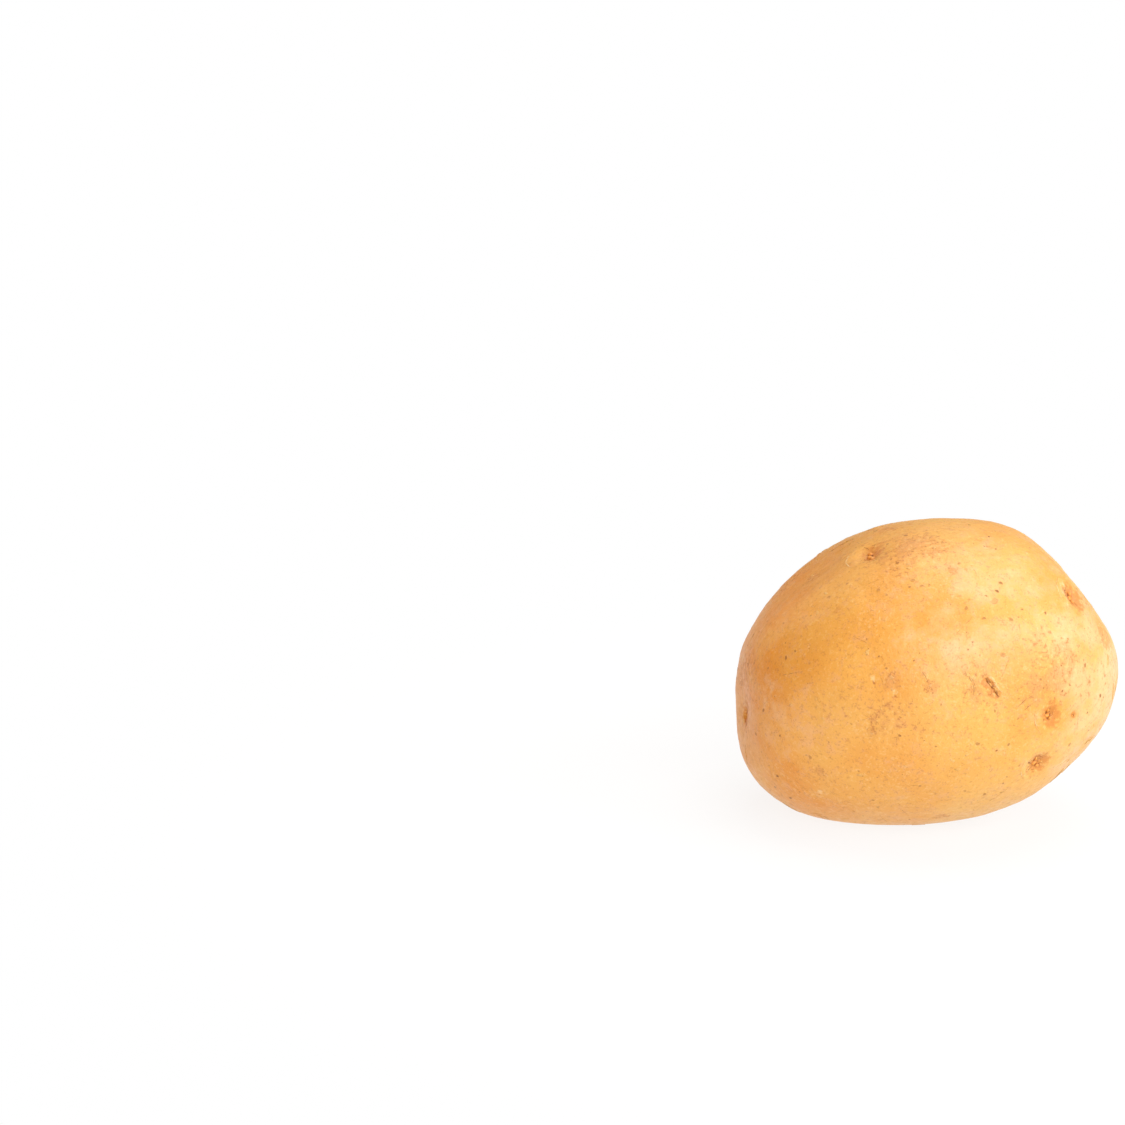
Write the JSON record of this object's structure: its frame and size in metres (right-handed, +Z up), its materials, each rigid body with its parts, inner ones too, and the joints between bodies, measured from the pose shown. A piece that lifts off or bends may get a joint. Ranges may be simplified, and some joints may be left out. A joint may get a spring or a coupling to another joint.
{
  "type": "potato",
  "caption": "Whole raw table potato, an oval lopsided tuber with shallow eyes, lying on a small flat spot.",
  "frame": {"origin": "on the resting surface, under the middle of the tuber's bounding box", "axes": "+X from the stem end to the rose end along the tuber, -Y the front, +Z up from the resting surface"},
  "size_m": [0.0846, 0.072, 0.0662],
  "materials": {
    "potato_skin": "satin, with matt russet patches"
  },
  "bodies": {
    "root": {"potato": "potato_skin"}
  },
  "joints": []
}
